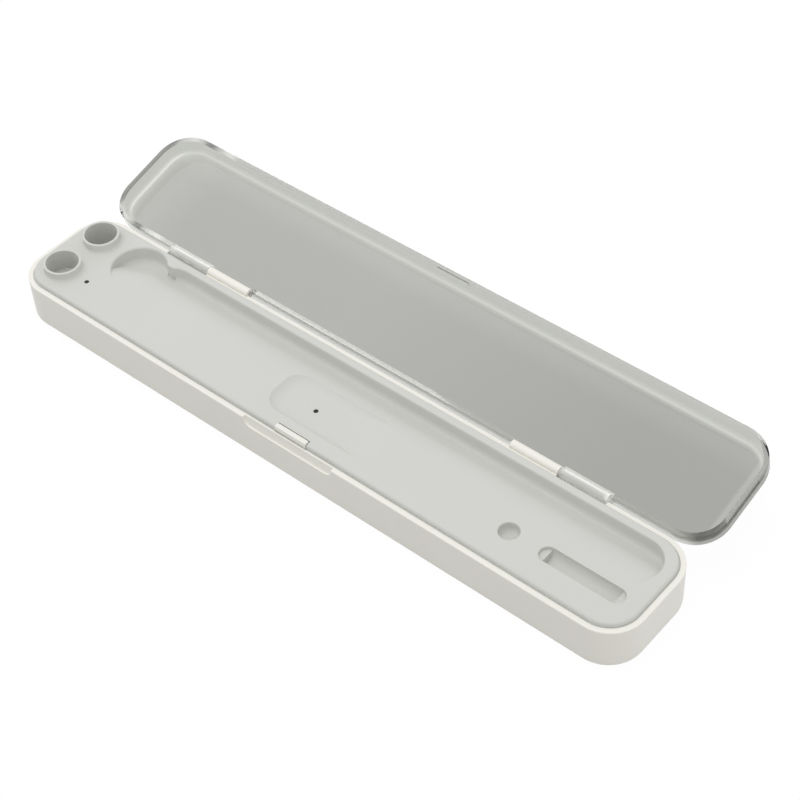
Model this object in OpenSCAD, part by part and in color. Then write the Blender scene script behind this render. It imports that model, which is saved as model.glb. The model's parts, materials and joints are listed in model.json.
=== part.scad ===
// Slim toothbrush sanitizer case: a tub, a moulded tray, a clear hinged lid and the electronics below.
// X runs along the case, Y from front to back, Z up. The origin is the centre of the underside.
// The lid is drawn open, leaning on its stop.

/* [Case] */
// Length of the case
case_l = 225; // [221:1:240]
// Width of the case, front to back
case_w = 37.4; // [37:0.1:42]
// Height of the tub up to its rim
base_h = 14.7; // [14.5:0.1:18]
// Corner radius of the outline, seen from above
corner_r = 11.1; // [10.5:0.1:12]
// Wall of the tub, which is also the width of its rim
wall_t = 1.55; // [1.3:0.05:1.7]
// Floor of the tub
floor_t = 1.5; // [1.2:0.1:1.7]
// Radius along the bottom edge
bottom_r = 2; // [1:0.1:3]
// Radius along the outer edge of the rim, on the tub and on the lid
rim_r = 0.3; // [0.1:0.05:0.5]

/* [Finger recess in the front wall] */
// Length of the recess
recess_l = 33; // [20:0.5:50]
// Height of the recess below the rim
recess_h = 3; // [2:0.1:5]
// Depth of the recess at the rim
recess_d = 1.05; // [0.5:0.05:1.2]
// Width of the ledge along the foot of the recess
recess_ledge = 0.55; // [0.2:0.05:0.8]
// Radius of the lower corners of the recess
recess_r = 2.6; // [1:0.1:2.8]

/* [Lid] */
// Height of the lid above the rim
lid_h = 7.2; // [6.8:0.1:10]
// Wall of the lid
lid_wall_t = 1.5; // [1.2:0.05:1.6]
// Thickness of the lid's top
lid_top_t = 1.4; // [1:0.1:2]
// Radius along the lid's top edge, outside
lid_top_r = 4; // [2:0.1:4.5]
// Radius along the lid's top edge, inside
lid_inner_r = 1.5; // [0.5:0.1:2.5]
// Gap between the closed lid and the rim
lid_seat_gap = 0.05; // [0.02:0.01:0.2]
// Angle of the open lid, from closed
lid_open = 165; // [150:1:170]

/* [Hinge] */
// Hinge axis behind the back wall
hinge_back = 0.7; // [0.5:0.05:1.2]
// Diameter of the knuckles
knuckle_d = 3; // [2.6:0.1:3.4]
// Distance from the middle of the case to each hinge
hinge_in_x = 49.5; // [30:0.5:60]
// Length of the knuckle on the tub
base_knuckle_l = 16.4; // [8:0.2:18]
// Length of the knuckle on the lid
lid_knuckle_l = 16; // [8:0.2:18]
// Gap between the two knuckles
knuckle_gap = 0.2; // [0.1:0.05:0.5]
// Clearance round a knuckle
knuckle_clear = 0.25; // [0.15:0.05:0.4]
// Diameter of the hinge pins
pin_d = 1.2; // [0.8:0.1:1.6]
// Closed end of the lid's bore
pin_cap = 1.5; // [1:0.1:3]
// Height of the lid's stop above the hinge axis
stop_h = 4.5; // [3:0.1:5]
// Gap left at the stop
stop_gap = 0.05; // [0.02:0.01:0.1]

/* [Tray] */
// Width of the groove between the tray and the rim of the tub
tray_gap = 0.4; // [0.2:0.05:0.6]
// Depth of that groove, down to the skirt of the tray
groove_depth = 0.15; // [0.1:0.05:1]
// Clearance of the skirt in the tub
skirt_clear = 0.05; // [0.03:0.01:0.1]
// Height of the tray above the rim
tray_rise = 1.4; // [0.8:0.1:2]
// Thickness of the tray
tray_t = 1.2; // [1:0.1:1.4]
// Height of the tray's edge
tray_edge_h = 4.1; // [3:0.1:4.3]
// Radius along the tray's upper edge
tray_edge_r = 0.8; // [0.3:0.1:1]

/* [Trough for the handle] */
// Depth of the trough and the pocket at their back wall
trough_depth = 5; // [3.5:0.1:5.2]
// Back edge of the trough across the case
trough_back = 14.05; // [13:0.05:14.4]
// Front edge of the trough, where its floor has risen to the top of the tray
trough_front = -0.6; // [-2:0.1:1]
// Distance from the right end of the case to the trough
trough_right = 5.5; // [5:0.1:20]
// Distance from the left end of the case to the trough
trough_left = 34.7; // [34:0.1:36]
// Radius of the hollow foot of the falling floor
ramp_r = 9; // [8:0.5:12]
// Radius of the wide curve in which the floor falls away from the front
ramp_lip_r = 17; // [14:0.5:19]
// Radius along the foot of the trough's wall
trough_floor_r = 2; // [1:0.1:2.5]
// Radius of the soft upper edge of the trough
trough_lip_r = 0.5; // [0.2:0.1:0.8]

/* [Round pocket] */
// Diameter of the pocket
pocket_d = 17; // [12:0.1:17.5]
// Distance from the left end of the case to the pocket's centre
pocket_left = 28.9; // [28.5:0.1:34]
// Centre line of the pocket
pocket_y = 6.9; // [6:0.1:7]
// Turn of the pocket's rising floor, which falls to the left as well as to the back
pocket_turn = 24; // [10:1:30]
// Radius of the bump between the pocket and the trough
bump_r = 3; // [1.5:0.1:4]
// Radius along the foot of the pocket's wall
pocket_floor_r = 1.5; // [0.5:0.1:2.5]
// Radius of the soft upper edge of the pocket
pocket_lip_r = 0.7; // [0.2:0.1:0.9]

/* [Finger scoop in the tray] */
// Length of the scoop at the top of the tray
scoop_l = 38.8; // [34:0.1:42]
// Width of the scoop at the top of the tray
scoop_w = 17; // [16:0.1:18]
// Depth of the scoop
scoop_depth = 1.7; // [1.2:0.1:1.8]
// Centre of the scoop along the case
scoop_x = 3.6; // [-8:0.1:12]
// Centre of the scoop across the case
scoop_y = -3.5; // [-4:0.1:-2]
// Radius of the hollow sides of the scoop
scoop_side_r = 4.5; // [3:0.5:6]
// Distance from the right end of the scoop over which its floor rises
scoop_rise_l = 17; // [10:0.5:20]
// Corner radius of the flat floor of the scoop
scoop_corner_r = 2.8; // [0.5:0.1:3.5]

/* [Cups] */
// Inner diameter of the cups
cup_d = 10.1; // [8:0.1:11]
// Wall of the cups
cup_wall_t = 0.75; // [0.6:0.05:1]
// Height of the cups above the tray
cup_rise = 2.65; // [1:0.05:4]
// Distance between the two cups
cup_pitch = 16.2; // [14:0.1:17]
// Middle between the two cups
cup_mid_y = 0.3; // [-0.5:0.1:0.5]
// Distance from the left end of the case to the cups
cup_left = 11.1; // [11:0.1:12]
// Depth of the front cup
cup_front_depth = 7; // [4:0.1:9.5]
// Depth of the back cup
cup_back_depth = 9.3; // [4:0.1:9.5]
// Radius where a cup meets the tray
cup_cove_r = 0.8; // [0.3:0.1:1.2]

/* [Small holders] */
// Line across the case on which the round hole and the slot lie
holder_y = -6.5; // [-8:0.1:-5.5]
// Diameter of the round hole
hole_d = 6; // [4:0.1:7]
// Depth of the round hole
hole_depth = 2.8; // [2:0.1:7]
// Radius along the foot of the round hole's wall
hole_floor_r = 1.2; // [0.5:0.1:2]
// Radius of the soft upper edge of the round hole
hole_lip_r = 0.3; // [0.1:0.1:0.5]
// Distance from the right end of the case to the round hole
hole_right = 44; // [40:0.1:46]
// Length of the slot
slot_l = 22.5; // [15:0.1:24]
// Width of the slot
slot_w = 5.3; // [4.5:0.1:6]
// Depth of the slot
slot_depth = 3.4; // [3:0.1:6]
// Distance from the right end of the case to the slot's centre
slot_right = 20.4; // [19:0.1:22]
// Length of the shallow lip at each end of the slot
slot_lip_l = 2.2; // [1:0.1:3]
// Depth of the shallow lips
slot_lip_depth = 1.1; // [0.6:0.1:2]

/* [Latch] */
// Length of the latch tab
latch_l = 11.4; // [8:0.1:14]
// Thickness of the latch tab
latch_t = 1.5; // [1.2:0.1:1.6]
// Height of the latch tab above the rim
latch_rise = 1.9; // [1.5:0.1:2.5]
// Shoulder of the latch tab at each side, below the tray's edge
latch_shoulder = 1.8; // [1:0.1:3]
// Height of the seat that carries the latch tab and the switch
latch_seat_z = 8; // [7:0.1:8.4]
// Travel of the latch tab
latch_travel = 0.4; // [0.2:0.05:0.5]
// Gap round the latch tab
latch_gap = 0.2; // [0.1:0.05:0.3]
// Height of the nub on the latch tab
nub_h = 0.7; // [0.4:0.1:1]
// Gap between the nub and the lid's wall
nub_gap = 0.15; // [0.1:0.05:0.2]
// Depth of the catch in the lid's wall
catch_d = 0.4; // [0.2:0.05:0.6]
// Room above and below the nub in the catch
catch_room = 0.4; // [0.2:0.1:0.5]

/* [Lamps] */
// Diameter of the lamp windows
window_d = 1.4; // [1:0.1:2]
// Diameter of the flange under a window
window_flange_d = 3; // [2.4:0.1:3.4]
// Thickness of the flange under a window
window_flange_t = 0.5; // [0.3:0.05:0.6]
// Distance from the left end of the case to the head lamp
head_lamp_left = 21.2; // [21:0.1:22]
// Head lamp across the case
head_lamp_y = -7.7; // [-8.5:0.1:-7]
// Middle lamp along the case
middle_lamp_x = -1.8; // [-6:0.1:4]
// Middle lamp across the case
middle_lamp_y = -4.2; // [-5:0.1:-3.5]
// Side of a lamp
lamp_side = 3.5; // [2.5:0.1:3.5]
// Height of a lamp
lamp_h = 1; // [0.8:0.1:1.2]
// Length of a lamp board
lamp_board_l = 12; // [11:0.1:14]
// Width of a lamp board
lamp_board_w = 7.6; // [6.6:0.1:8]
// Thickness of a lamp board
lamp_board_t = 1; // [0.8:0.1:1.2]

/* [Main board] */
// Length of the main board
board_l = 56; // [52:1:58]
// Width of the main board
board_w = 24; // [22:0.5:26]
// Thickness of the main board
board_t = 1.2; // [1:0.1:1.6]
// Height of the standoffs under the board
standoff_h = 1.5; // [1.2:0.1:2]
// Distance of the board's screws from its edges
board_screw_in = 3.2; // [2.6:0.1:4]
// Width of the charging socket
usb_w = 8.94; // [8:0.01:9.5]
// Height of the charging socket
usb_h = 3.26; // [3:0.01:3.5]
// Length of the charging socket
usb_l = 7.3; // [6:0.1:9]
// Wall of the charging socket
usb_wall_t = 0.3; // [0.2:0.05:0.4]
// Gap round the charging socket in the wall
port_gap = 0.3; // [0.2:0.05:0.5]
// Side of the control chip
chip_side = 5; // [3:0.1:6]
// Height of the control chip
chip_h = 0.9; // [0.6:0.1:1.2]
// Side of the power coil
coil_side = 5; // [3:0.1:6]
// Height of the power coil
coil_h = 2.4; // [1.5:0.1:2.6]
// Height of the lead sockets on the board
socket_h = 2; // [1.5:0.1:2.5]
// Side of a lead socket
socket_side = 4; // [3:0.1:5]

/* [Battery] */
// Length of the battery
battery_l = 60; // [40:1:62]
// Width of the battery
battery_w = 19; // [15:0.5:20]
// Thickness of the battery
battery_t = 5; // [3:0.1:5.5]
// Thickness of the pad under the battery
battery_pad_t = 0.4; // [0.2:0.05:0.6]
// Distance from the middle of the left screw posts to the battery
battery_x = 6; // [5:0.5:10]
// Middle of the battery across the case
battery_y = 1; // [0:0.1:2]
// Height of the ribs round the battery
battery_rib_h = 2.4; // [1.5:0.1:3]

/* [Leads] */
// Thickness of the flat leads
lead_t = 0.8; // [0.6:0.1:1]
// Width of the flat leads
lead_w = 2.4; // [1.6:0.1:3]

/* [Switch] */
// Length of the interlock switch along the case
switch_l = 6; // [4:0.1:8]
// Depth of the interlock switch
switch_d = 3.6; // [3:0.1:3.8]
// Height of the interlock switch
switch_h = 3.5; // [3:0.1:3.7]
// Diameter of the switch plunger
plunger_d = 1.6; // [1:0.1:2]
// Length of the switch plunger that stands out
plunger_out = 1.2; // [0.9:0.1:1.5]

/* [Screws] */
// Shank diameter of the tray screws and board screws
screw_d = 2; // [1.6:0.1:2.2]
// Head diameter of those screws
screw_head_d = 3.6; // [3.2:0.1:4]
// Head height of those screws
screw_head_h = 1.2; // [0.9:0.1:1.4]
// Length of the tray screws
tray_screw_l = 8; // [6:0.1:8.2]
// Length of the board screws
board_screw_l = 3; // [2.2:0.1:3.2]
// Shank diameter of the lamp screws
lamp_screw_d = 1.2; // [1:0.1:1.4]
// Head diameter of the lamp screws
lamp_screw_head_d = 2.2; // [1.8:0.1:2.4]
// Head height of the lamp screws
lamp_screw_head_h = 0.7; // [0.5:0.1:1]
// Height at which the tub's screw posts meet the tray's
post_z = 6.5; // [5:0.1:7]
// Diameter of the tub's screw posts
post_d = 6; // [5:0.1:6.6]
// Distance from the left end of the case to the left screw posts
post_left = 64.5; // [62:0.1:66]
// Distance from the right end of the case to the right screw posts
post_right = 50.5; // [48:0.1:60]
// Distance from the front of the case to the front screw posts
post_front = 5.3; // [5:0.1:6]
// Distance from the back of the case to the back screw posts
post_back = 11.5; // [10:0.1:13]

/* [Hidden] */
$fn = 64;

// Small overlap that joins solids, and reach of a cutter past a face
join = 0.2;
past = 1;
// Clearance of a pin or screw that is held, and of one that turns or passes freely
held_clear = 0.01;
turn_clear = 0.05;
// Room past the end of a pin or screw in its blind hole
end_room = 0.3;
// Step that keeps a soft edge from ending exactly on the face it blends into
blend_step = 0.02;

left_x = -case_l / 2;
right_x = case_l / 2;
front_y = -case_w / 2;
back_y = case_w / 2;

// Hinge
axis_y = back_y + hinge_back;
axis_z = base_h;
knuckle_r = knuckle_d / 2;
pin_r = pin_d / 2;
base_knuckle_end = hinge_in_x + base_knuckle_l;
lid_knuckle_start = base_knuckle_end + knuckle_gap;
lid_knuckle_end = lid_knuckle_start + lid_knuckle_l;

// Tray
tray_top = base_h + tray_rise;
tray_in = wall_t + tray_gap;
tray_l = case_l - 2 * tray_in;
tray_w = case_w - 2 * tray_in;
tray_r = corner_r - tray_in;
skirt_out = tray_gap - skirt_clear;
skirt_h = base_h - groove_depth - tray_top + tray_edge_h;
tray_under = tray_top - tray_t;
tray_edge_z = tray_top - tray_edge_h;
scoop_under = tray_under - scoop_depth;
scoop_side_run = sqrt(pow(scoop_side_r, 2) - pow(scoop_side_r - scoop_depth, 2));
scoop_rise_x = scoop_x + scoop_l / 2 - scoop_rise_l;
scoop_end_step = 0.12;
scoop_rise_h = scoop_depth - scoop_end_step;
scoop_rise_r = (pow(scoop_rise_l, 2) + pow(scoop_rise_h, 2)) / (2 * scoop_rise_h);

// Trough, with a floor that falls from its front to its back wall
trough_w = trough_back - trough_front;
trough_y = trough_front + trough_w / 2;
trough_x0 = left_x + trough_left;
trough_l = case_l - trough_left - trough_right;
trough_x = trough_x0 + trough_l / 2;
ramp_h = ramp_r - trough_depth;
ramp_run = sqrt(pow(ramp_r + ramp_lip_r, 2) - pow(ramp_h + ramp_lip_r, 2));
// Wall under the sloping floors, a little thinner than the tray so that it starts inside it
ramp_under_t = tray_t - blend_step;
pocket_x = left_x + pocket_left;
// Place right of the pocket's centre at which its floor meets the trough's floor
pocket_meet = 3.1;
pocket_front = trough_front - pocket_y - pocket_meet * sin(pocket_turn);

// Bump between the pocket and the trough, round a point that lies as far from both
pocket_mid = [pocket_x, pocket_y];
trough_end = [trough_x0 + trough_w / 2, trough_y];
bump_way = trough_end - pocket_mid;
bump_span = norm(bump_way);
bump_reach = [pocket_d / 2 + bump_r, trough_w / 2 + bump_r];
bump_along = (pow(bump_span, 2) + pow(bump_reach[0], 2) - pow(bump_reach[1], 2)) / (2 * bump_span);
bump_aside = sqrt(pow(bump_reach[0], 2) - pow(bump_along, 2));
bump_mid = pocket_mid + (bump_along * bump_way + bump_aside * [-bump_way.y, bump_way.x]) / bump_span;
bump_left = pocket_mid + (bump_mid - pocket_mid) * pocket_d / 2 / bump_reach[0];
bump_right = trough_end + (bump_mid - trough_end) * trough_w / 2 / bump_reach[1];
slot_x = right_x - slot_right;
hole_x = right_x - hole_right;
cup_x = left_x + cup_left;
cup_r = cup_d / 2;
cup_out_r = cup_r + cup_wall_t;
cup_top = tray_top + cup_rise;
cups = [[cup_mid_y - cup_pitch / 2, cup_front_depth], [cup_mid_y + cup_pitch / 2, cup_back_depth]];

// Latch tab and switch
latch_front = front_y + wall_t + latch_gap;
latch_back = latch_front + latch_t;
latch_top = base_h + latch_rise;
latch_shoulder_z = tray_edge_z - latch_gap;
latch_full_l = latch_l + 2 * latch_shoulder;
latch_notch_back = latch_back + latch_travel + latch_gap;
nub_z = base_h + latch_rise / 2;
nub_front = front_y + lid_wall_t + nub_gap;
catch_h = nub_h + 2 * catch_room;
switch_front = latch_back + turn_clear + plunger_out;
switch_back = switch_front + switch_d;
plunger_z = latch_seat_z + switch_h / 2;
plunger_guide = 1;
plunger_room = 0.2;
plunger_in = latch_travel + plunger_guide;
plunger_stop = switch_front + plunger_in + latch_travel + plunger_room;
cheek_t = 1.2;
cheek_x = latch_full_l / 2 + latch_gap;

// Main board
board_end_gap = 1.5;
board_x0 = left_x + wall_t + board_end_gap;
board_x1 = board_x0 + board_l;
board_z = floor_t + standoff_h;
board_top = board_z + board_t;
standoff_wall_t = 1.3;
standoff_d = screw_d + 2 * standoff_wall_t;
board_screw_x = [board_x0 + board_screw_in, board_x1 - board_screw_in];
board_screw_y = [board_screw_in - board_w / 2, board_w / 2 - board_screw_in];
socket_top = board_top + socket_h;
chip_spot = [board_x0 + 0.6 * board_l, board_w / 6];
coil_spot = [board_x0 + 0.4 * board_l, board_w / 5];
usb_set_back = 0.5;
usb_x0 = left_x + usb_set_back;
usb_z = board_top + usb_h / 2;

// Lamps
head_lamp_x = left_x + head_lamp_left;
lamp_board_left = 2.6;
lamp_screw_in = 4.5;
lamp_screw_y = 2.2;
lamp_screw_bite = 0.4;
lamp_screw_l = lamp_board_t + lamp_h + lamp_screw_bite;
lamp_post_wall_t = 0.8;
lamp_post_d = lamp_screw_d + 2 * lamp_post_wall_t;
window_set_back = 0.1;

// Screw posts
post_xs = [left_x + post_left, right_x - post_right];
post_ys = [front_y + post_front, back_y - post_back];
post_spots = [for (x = post_xs, y = post_ys) [x, y]];
screw_r = screw_d / 2;
screw_seat_t = 0.7;
screw_seat_z = floor_t + screw_seat_t;
screw_head_room = 0.3;
tray_post_wall_t = 1.5;
tray_post_d = screw_d + 2 * tray_post_wall_t;

// Battery
battery_x0 = post_xs[0] + battery_x;
battery_z = floor_t + battery_pad_t;
battery_gap = 0.3;
rib_t = 1.2;

// Leads and the sockets they run to
lead_in = 1.5;
lead_rise = 1.2;
lead_socket_x = board_x1 - 2 * socket_side;
head_lead_x = head_lamp_x - lamp_board_left + lamp_board_l - lead_in;
head_socket = [head_lead_x, head_lamp_y];
middle_socket = [lead_socket_x, middle_lamp_y];
switch_lead_y = switch_back + lead_w / 2;
switch_socket = [lead_socket_x, switch_lead_y];
battery_socket_in = 1;
battery_lead_gap = 1;
battery_lead_y = post_ys[1] - post_d / 2 - battery_lead_gap - lead_w / 2;
battery_socket = [board_x1 - socket_side / 2 - battery_socket_in, battery_lead_y];
battery_run_z = floor_t + battery_rib_h + lead_rise / 2;
middle_run_z = battery_z + battery_t + lead_rise;
switch_run_z = latch_seat_z + lead_rise;
middle_lead_x = middle_lamp_x - lamp_board_left + lead_in;
middle_board_z = scoop_under - lamp_h - lamp_board_t;
head_board_z = tray_under - lamp_h - lamp_board_t;

// Flat rectangle with round corners
module rounded_rect(l, w, r) {
  square([l - 2 * r, w], center = true);
  square([l, w - 2 * r], center = true);
  for (x = [-1, 1], y = [-1, 1])
    translate([x * (l / 2 - r), y * (w / 2 - r)]) circle(r);
}

// What is taken off a square corner to leave a round one
module corner_waste(r) {
  difference() {
    translate([0, -past]) square(r + past);
    translate([0, r]) circle(r);
  }
}

// Right half of an upright section, with its outer corners rounded below and above
module half_section(half, h, low_r, high_r) {
  difference() {
    square([half, h]);
    if (low_r > 0) translate([half - low_r, 0]) corner_waste(low_r);
    if (high_r > 0) translate([half - high_r, h]) mirror([0, 1]) corner_waste(high_r);
  }
}

module whole_section(width, h, low_r, high_r) {
  half_section(width / 2, h, low_r, high_r);
  mirror([1, 0]) half_section(width / 2, h, low_r, high_r);
}

// Slab with a rounded outline whose bottom and top edges are rounded all the way round
module rounded_slab(l, w, r, h, low_r = 0, high_r = 0) {
  y_run = w - 2 * r;
  x_run = l - 2 * r;
  for (x = [-1, 1], y = y_run > 0 ? [-1, 1] : [0])
    translate([x * x_run / 2, y * y_run / 2, 0]) rotate_extrude() half_section(r, h, low_r, high_r);
  along_x(-x_run / 2, x_run / 2) whole_section(w, h, low_r, high_r);
  if (y_run > 0)
    rotate([90, 0, 0]) translate([0, 0, -y_run / 2]) linear_extrude(y_run)
      whole_section(l, h, low_r, high_r);
}

// Upright section drawn out along X between two places
module along_x(x0, x1) {
  rotate([90, 0, 90]) translate([0, 0, x0]) linear_extrude(x1 - x0) children();
}

// Waste of the soft upper edge of a recess with an upright wall
module lip_waste(edge, lip_r) {
  difference() {
    translate([0, blend_step - lip_r]) square([edge + lip_r, lip_r + past]);
    translate([edge + lip_r, -lip_r]) circle(lip_r);
  }
}

// Rod along X between two places
module x_rod(r, x0, x1) {
  translate([x0, 0, 0]) rotate([0, 90, 0]) cylinder(r = r, h = x1 - x0);
}

// Box between two corners
module box(low, high) {
  translate(low) cube(high - low);
}

// Both hinges, the right one as drawn and the left one mirrored
module each_hinge() {
  translate([0, axis_y, axis_z]) children();
  mirror([1, 0, 0]) translate([0, axis_y, axis_z]) children();
}

// Flat strip along X with an upright outline, centred on a line across the case
module lead_strip(y, points) {
  translate([0, y + lead_w / 2, 0]) rotate([90, 0, 0]) linear_extrude(lead_w) polygon(points);
}

// Pan head screw that points up, with its head's upper face at zero and a cross in the head
module screw(shank_r, shank_l, head_r, head_h) {
  cross_l = head_r * 1.1;
  cross_w = head_r * 0.28;
  cross_low = -head_h - past;
  difference() {
    union() {
      cylinder(r = shank_r, h = shank_l);
      translate([0, 0, -head_h]) cylinder(r = head_r, h = head_h);
    }
    for (turn = [0, 90])
      rotate([0, 0, turn])
        box([-cross_l / 2, -cross_w / 2, cross_low], [cross_l / 2, cross_w / 2, -head_h / 2]);
  }
}

// Tub
module finger_recess() {
  depth_points = [
    [front_y - past, base_h - recess_h],
    [front_y + recess_ledge, base_h - recess_h],
    [front_y + recess_d, base_h],
    [front_y + recess_d, base_h + past],
    [front_y - past, base_h + past]
  ];
  intersection() {
    along_x(-recess_l / 2, recess_l / 2) polygon(depth_points);
    translate([0, front_y + wall_t, base_h]) rotate([90, 0, 0])
      linear_extrude(wall_t + past) rounded_rect(recess_l, 2 * recess_h, recess_r);
  }
}

module base_knuckle() {
  web_in = hinge_back + join;
  web_low = 2.7 * knuckle_r;
  web_out = 0.2 * knuckle_r;
  tangent_z = 0.85 * knuckle_r;
  web_points = [[-web_in, -web_low], [-web_in, 0], [web_out, 0], [1.7 * web_out, -tangent_z]];
  x_rod(knuckle_r, hinge_in_x, base_knuckle_end);
  along_x(hinge_in_x, base_knuckle_end) polygon(web_points);
}

module lid_knuckle_notch() {
  box(
    [base_knuckle_end, -hinge_back - wall_t - tray_gap / 2, -knuckle_r - knuckle_clear],
    [lid_knuckle_end + knuckle_clear, knuckle_r + knuckle_clear, knuckle_r]
  );
}

module latch_seat() {
  half = cheek_x + cheek_t;
  wall_y = front_y + wall_t - join;
  for (x = [-half, cheek_x])
    box([x, wall_y, floor_t - join], [x + cheek_t, switch_back, latch_seat_z]);
  box([-half, wall_y, latch_seat_z - cheek_t], [half, switch_back, latch_seat_z]);
  for (x = [-half, cheek_x])
    box([x, wall_y, latch_seat_z - join], [x + cheek_t, latch_back + latch_travel, latch_shoulder_z]);
}

module battery_ribs() {
  inner = [battery_l + 2 * battery_gap, battery_w + 2 * battery_gap];
  translate([battery_x0 + battery_l / 2, battery_y, floor_t - join]) linear_extrude(battery_rib_h + join)
    difference() {
      square([inner.x + 2 * rib_t, inner.y + 2 * rib_t], center = true);
      square(inner, center = true);
    }
}

module usb_outline(grow) {
  end_r = usb_h / 2 + grow;
  square([usb_w - usb_h, 2 * end_r], center = true);
  for (x = [-1, 1]) translate([x * (usb_w - usb_h) / 2, 0]) circle(end_r);
}

module base_shell() {
  color("#e9e8e2") difference() {
    union() {
      difference() {
        rounded_slab(case_l, case_w, corner_r, base_h, low_r = bottom_r, high_r = rim_r);
        translate([0, 0, floor_t]) linear_extrude(base_h)
          rounded_rect(case_l - 2 * wall_t, case_w - 2 * wall_t, corner_r - wall_t);
        finger_recess();
        each_hinge() lid_knuckle_notch();
      }
      each_hinge() base_knuckle();
      for (spot = post_spots)
        translate([spot.x, spot.y, floor_t - join]) cylinder(d = post_d, h = post_z - floor_t + join);
      for (x = board_screw_x, y = board_screw_y)
        translate([x, y, floor_t - join]) cylinder(d = standoff_d, h = standoff_h + join);
      latch_seat();
      battery_ribs();
    }
    each_hinge() x_rod(pin_r + held_clear, hinge_in_x - past, base_knuckle_end + past);
    for (spot = post_spots) translate([spot.x, spot.y, -past]) {
      cylinder(r = screw_r + turn_clear, h = post_z + 2 * past);
      cylinder(d = screw_head_d + 2 * screw_head_room, h = screw_seat_z + past);
    }
    for (x = board_screw_x, y = board_screw_y)
      translate([x, y, board_top - board_screw_l - end_room])
        cylinder(r = screw_r + held_clear, h = board_screw_l);
    translate([0, 0, usb_z]) along_x(left_x - past, left_x + wall_t + past) usb_outline(port_gap);
  }
}

// Recesses of the tray: grown by the tray's thickness they are its outer skin
module upright_lip(edge, lip_r) {
  translate([0, 0, tray_top]) rotate_extrude() lip_waste(edge, lip_r);
}

// Soft edge of a recess that is a straight run with half-round ends
module run_lip(l, w, lip_r) {
  run = (l - w) / 2;
  translate([0, 0, tray_top]) along_x(-run, run) {
    lip_waste(w / 2, lip_r);
    mirror([1, 0]) lip_waste(w / 2, lip_r);
  }
  for (x = [-run, run]) translate([x, 0, 0]) upright_lip(w / 2, lip_r);
}

module trough(grow) {
  width = trough_w + 2 * grow;
  height = trough_depth + grow + past;
  translate([trough_x, trough_y, tray_top - trough_depth - grow])
    rounded_slab(trough_l + 2 * grow, width, width / 2, height, low_r = trough_floor_r);
}

module trough_lip() {
  translate([trough_x, trough_y, 0]) run_lip(trough_l, trough_w, trough_lip_r);
}

module pocket(grow) {
  translate([pocket_x, pocket_y, tray_top - trough_depth - grow]) rotate_extrude()
    half_section(pocket_d / 2 + grow, trough_depth + grow + past, pocket_floor_r, 0);
}

// Joins the pocket and the trough, round the bump between them
module pocket_bridge(grow) {
  bottom = tray_top - trough_depth - grow;
  box([pocket_x, trough_front, bottom], [trough_end.x, pocket_y, tray_top + past]);
  difference() {
    box([bump_left.x, pocket_y - join, bottom], [bump_right.x, bump_right.y + grow, tray_top + past]);
    translate([bump_mid.x, bump_mid.y, bottom - past])
      cylinder(r = bump_r - blend_step - grow, h = trough_depth + grow + 3 * past);
  }
}

// Space above a floor that falls away from the front in a wide curve and ends in a narrow hollow one
module above_ramp(grow) {
  curve_end = (ramp_lip_r - grow) * (ramp_h + ramp_lip_r) / (ramp_r + ramp_lip_r) - ramp_lip_r;
  along_x(-case_l / 2, case_l / 2) {
    translate([ramp_run, ramp_h]) circle(ramp_r + grow);
    difference() {
      translate([0, curve_end + blend_step]) square([ramp_run, past - curve_end]);
      translate([0, -ramp_lip_r]) circle(ramp_lip_r - grow);
    }
  }
}

module above_trough_floor(grow) {
  translate([0, trough_front, tray_top]) above_ramp(grow);
}

module above_pocket_floor(grow) {
  translate([pocket_x, pocket_y, tray_top]) rotate([0, 0, pocket_turn])
    translate([0, pocket_front, 0]) above_ramp(grow);
}

// Shallow dish with hollow sides and a flat floor that rises to the right
module scoop(grow) {
  spread = scoop_side_r - scoop_side_run + grow;
  low = tray_top - scoop_depth - grow;
  intersection() {
    translate([scoop_x, scoop_y, low]) rounded_slab(
      scoop_l + 2 * spread, scoop_w + 2 * spread, scoop_side_r + scoop_corner_r + grow,
      scoop_depth + grow + past, low_r = scoop_side_r + grow
    );
    union() {
      box([left_x, front_y, low - past], [scoop_rise_x, back_y, tray_top + past]);
      translate([scoop_rise_x, back_y, low + scoop_rise_r + grow]) rotate([90, 0, 0])
        cylinder(r = scoop_rise_r + grow, h = case_w);
    }
  }
}

module round_hole(grow) {
  translate([hole_x, holder_y, tray_top - hole_depth - grow]) rotate_extrude()
    half_section(hole_d / 2 + grow, hole_depth + grow + past, hole_floor_r, 0);
}

module slot(grow) {
  half_l = slot_l / 2 + grow;
  half_w = slot_w / 2 + grow;
  translate([slot_x, holder_y, tray_top]) {
    translate([0, 0, slot_w / 2 - slot_depth]) x_rod(half_w, -half_l, half_l);
    box([-half_l, -half_w, slot_w / 2 - slot_depth], [half_l, half_w, past]);
  }
}

module slot_lips() {
  reach = slot_l / 2 + slot_lip_l - slot_w / 2;
  translate([slot_x, holder_y, tray_top - slot_lip_depth]) linear_extrude(slot_lip_depth + past) {
    square([2 * reach, slot_w], center = true);
    for (x = [-reach, reach]) translate([x, 0]) circle(d = slot_w);
  }
}

module cup_outside(depth) {
  floor_z = cup_top - depth - tray_t;
  translate([0, 0, floor_z]) cylinder(r = cup_out_r, h = cup_top - floor_z);
  translate([0, 0, tray_top]) rotate_extrude() difference() {
    translate([cup_r + join, -join]) square([cup_wall_t - join + cup_cove_r, cup_cove_r + join]);
    translate([cup_out_r + cup_cove_r, cup_cove_r]) circle(cup_cove_r);
  }
}

module lamp_posts(x, y, under) {
  for (side = [-1, 1])
    translate([x + lamp_screw_in, y + side * lamp_screw_y, under - lamp_h])
      cylinder(d = lamp_post_d, h = lamp_h + join);
}

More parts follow.
